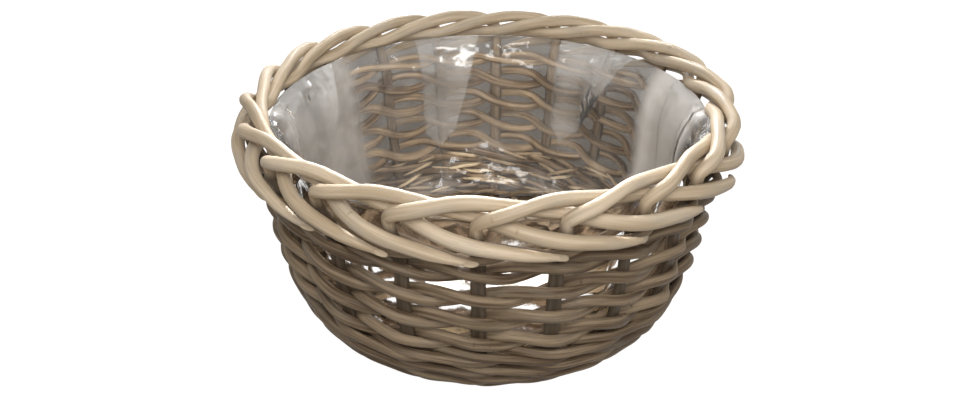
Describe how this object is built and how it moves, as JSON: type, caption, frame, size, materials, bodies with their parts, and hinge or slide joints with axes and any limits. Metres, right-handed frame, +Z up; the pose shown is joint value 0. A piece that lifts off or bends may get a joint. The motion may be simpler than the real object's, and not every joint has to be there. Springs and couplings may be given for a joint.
{
  "type": "woven willow bowl",
  "caption": "Round open bowl woven of willow rods, with a rolled-down plaited border, spaced rows over a dense foot, a flat woven base and a clear film liner.",
  "frame": {"origin": "middle of the flat underside, on the surface that the bowl stands on", "axes": "+Z up out of the open mouth; -Y is the side that faces the picture's camera"},
  "size_m": [0.2996, 0.2994, 0.1399],
  "materials": {
    "willow_stake": "bare peeled willow, satin, pale beige",
    "willow_wall": "bare willow, greyed, slightly rough",
    "willow_base": "bare willow, greyed, rough",
    "clear_film": "clear glossy plastic film, creased"
  },
  "bodies": {
    "root": {"stake_01": "willow_stake", "stake_02": "willow_stake", "stake_03": "willow_stake", "stake_04": "willow_stake", "stake_05": "willow_stake", "stake_06": "willow_stake", "stake_07": "willow_stake", "stake_08": "willow_stake", "stake_09": "willow_stake", "stake_10": "willow_stake", "stake_11": "willow_stake", "stake_12": "willow_stake", "stake_13": "willow_stake", "stake_14": "willow_stake", "stake_15": "willow_stake", "stake_16": "willow_stake", "stake_17": "willow_stake", "stake_18": "willow_stake", "stake_19": "willow_stake", "stake_20": "willow_stake", "waling_rod_1": "willow_wall", "waling_rod_2": "willow_wall", "waling_rod_3": "willow_wall", "pairing_rod_1_a": "willow_wall", "pairing_rod_1_b": "willow_wall", "pairing_rod_2_a": "willow_wall", "pairing_rod_2_b": "willow_wall", "pairing_rod_3_a": "willow_wall", "pairing_rod_3_b": "willow_wall", "pairing_rod_4_a": "willow_wall", "pairing_rod_4_b": "willow_wall", "collar_rod_a": "willow_wall", "collar_rod_b": "willow_wall", "base_stick_long_1": "willow_base", "base_stick_long_2": "willow_base", "base_stick_long_3": "willow_base", "base_stick_cross_1": "willow_base", "base_stick_cross_2": "willow_base", "base_weaver_1": "willow_base", "base_weaver_2": "willow_base", "film_liner": "clear_film"}
  },
  "joints": []
}
